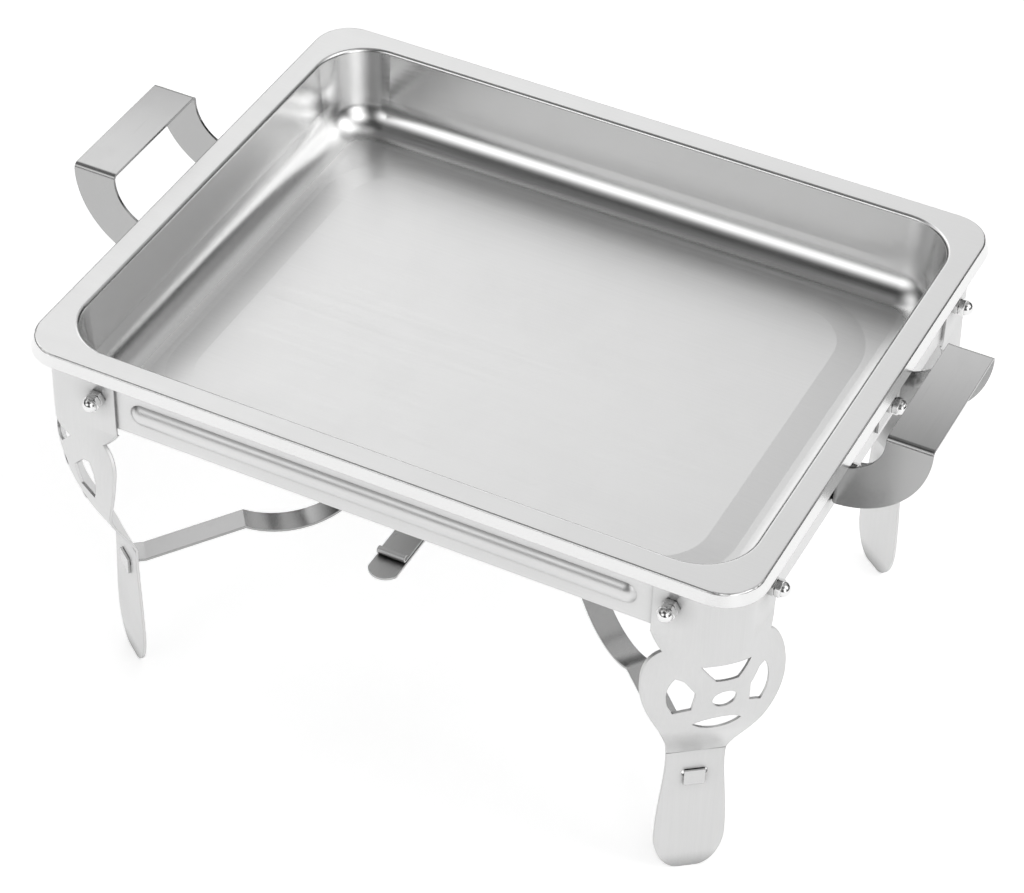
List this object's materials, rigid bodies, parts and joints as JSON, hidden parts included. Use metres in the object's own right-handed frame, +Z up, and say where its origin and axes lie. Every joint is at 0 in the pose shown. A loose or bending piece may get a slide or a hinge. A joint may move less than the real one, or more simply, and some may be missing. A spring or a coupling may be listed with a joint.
{
  "type": "chafing dish",
  "caption": "Half-size steel chafing dish: drop-in food pan on a bolted stamped stand with pierced legs, two carrying handles and a fuel burner under it. No lid is shown.",
  "frame": {"origin": "on the table, under the middle of the dish", "axes": "+Z up, +X along the dish towards one carrying handle, -Y towards the side from which the burner is drawn out"},
  "size_m": [0.3944, 0.271, 0.202],
  "materials": {
    "pan_steel": "satin with a soft shine",
    "stand_steel": "satin",
    "handle_steel": "satin",
    "strap_steel": "satin",
    "bolt_steel": "bright",
    "burner_steel": "satin"
  },
  "bodies": {
    "frame": {"front_rail": "stand_steel", "back_rail": "stand_steel", "left_rail": "stand_steel", "right_rail": "stand_steel", "front_right_leg": "stand_steel", "front_left_leg": "stand_steel", "back_right_leg": "stand_steel", "back_left_leg": "stand_steel", "leg_screws": "bolt_steel", "leg_hex_nuts": "bolt_steel", "leg_cap_nuts": "bolt_steel", "right_handle": "handle_steel", "left_handle": "handle_steel", "handle_screws": "bolt_steel", "handle_hex_nuts": "bolt_steel", "handle_cap_nuts": "bolt_steel", "upper_strap": "strap_steel", "lower_strap": "strap_steel"},
    "pan": {"pan": "pan_steel"},
    "tray": {"burner_tray": "strap_steel"},
    "burner": {"fuel_cup": "burner_steel", "cup_grip": "burner_steel", "grip_rivets": "burner_steel", "pivot_rivet": "burner_steel"},
    "lid": {"cup_lid": "burner_steel"}
  },
  "joints": [
    {"name": "pan_lift", "type": "slide", "parent": "frame", "child": "pan", "axis": [0, 0, 1], "range_m": [0, 0.06]},
    {"name": "tray_lift", "type": "slide", "parent": "frame", "child": "tray", "axis": [0, 0, 1], "range_m": [0, 0.02]},
    {"name": "burner_pull", "type": "slide", "parent": "tray", "child": "burner", "axis": [0, -1, 0], "range_m": [0, 0.2]},
    {"name": "lid_swivel", "type": "hinge", "parent": "burner", "child": "lid", "pos_m": [-0.008, -0.052, 0.1085], "axis": [0, 0, 1], "range_deg": [-120, 120]}
  ]
}
